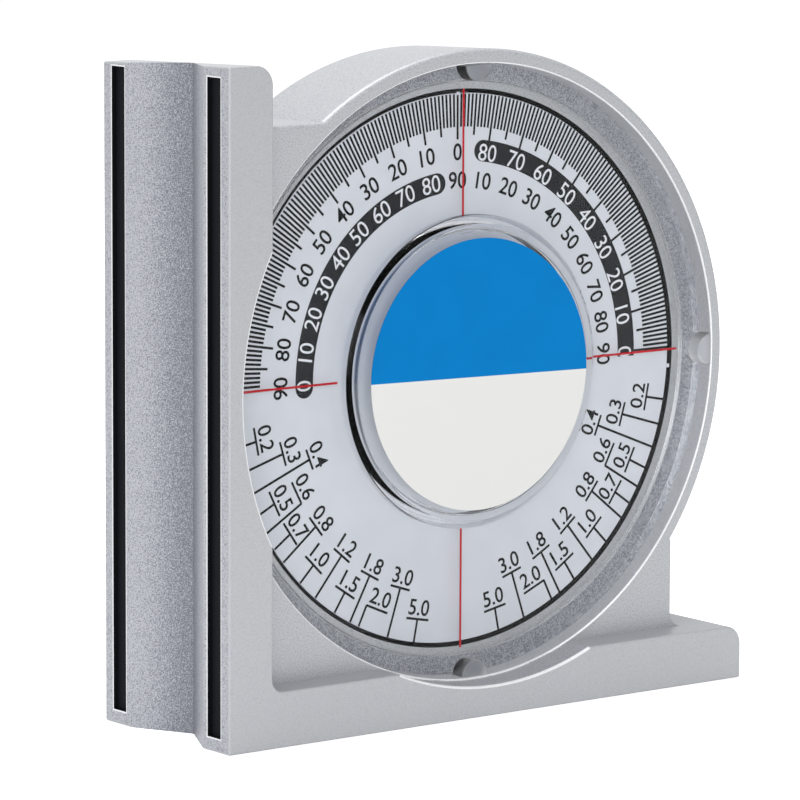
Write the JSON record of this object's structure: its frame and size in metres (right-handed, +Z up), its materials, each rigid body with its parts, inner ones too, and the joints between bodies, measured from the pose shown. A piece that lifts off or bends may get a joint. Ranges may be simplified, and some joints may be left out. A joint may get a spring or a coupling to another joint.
{
  "type": "inclinometer",
  "caption": "Magnetic angle finder: a weighted dial swings in a round case behind a clear window with red cross lines; flat magnetic foot and a V-grooved magnetic side.",
  "frame": {"origin": "middle of the underside of the foot", "axes": "+Z up, the dial faces -Y, the V-grooved side faces -X"},
  "size_m": [0.099, 0.032, 0.1008],
  "materials": {
    "silver_paint": "silver metallic lacquer over moulded ABS, satin",
    "clear_acrylic": "clear moulded acrylic, glossy",
    "red_ink": "red ink",
    "printed_vinyl": "two-colour printed vinyl sticker, satin",
    "bronze": "sintered bronze bush, oiled",
    "zinc_steel": "zinc-plated countersunk screw",
    "magnet_rubber": "matt black rubber-bonded ferrite strip",
    "printed_sheet": "white printed polyester sheet, satin",
    "sheet_aluminium": "blanked sheet, plain",
    "mild_steel": "blanked mild steel, blued",
    "rivet_aluminium": "headed aluminium rivet",
    "brass": "turned brass",
    "polished_steel": "ground and polished pin",
    "spring_steel": "black spring steel clip",
    "nylon": "natural nylon washer"
  },
  "bodies": {
    "case": {"housing": "silver_paint", "lens": "clear_acrylic", "cross_lines": "red_ink", "centre_label": "printed_vinyl", "front_bearing": "bronze", "rear_cover": "silver_paint", "rear_cover_screws": "zinc_steel", "rear_bearing": "bronze", "side_magnet_front": "magnet_rubber", "side_magnet_rear": "magnet_rubber", "base_magnet_front": "magnet_rubber", "base_magnet_rear": "magnet_rubber"},
    "dial": {"dial_face": "printed_sheet", "dial_disc": "sheet_aluminium", "counterweight": "mild_steel", "counterweight_rivets": "rivet_aluminium", "dial_hub": "brass", "axle": "polished_steel", "axle_clip": "spring_steel", "front_thrust_washer": "nylon", "rear_thrust_washer": "nylon"}
  },
  "joints": [
    {"name": "dial_swing", "type": "hinge", "parent": "case", "child": "dial", "pos_m": [0.0003, 0, 0.0518], "axis": [0, 1, 0], "continuous": true}
  ]
}
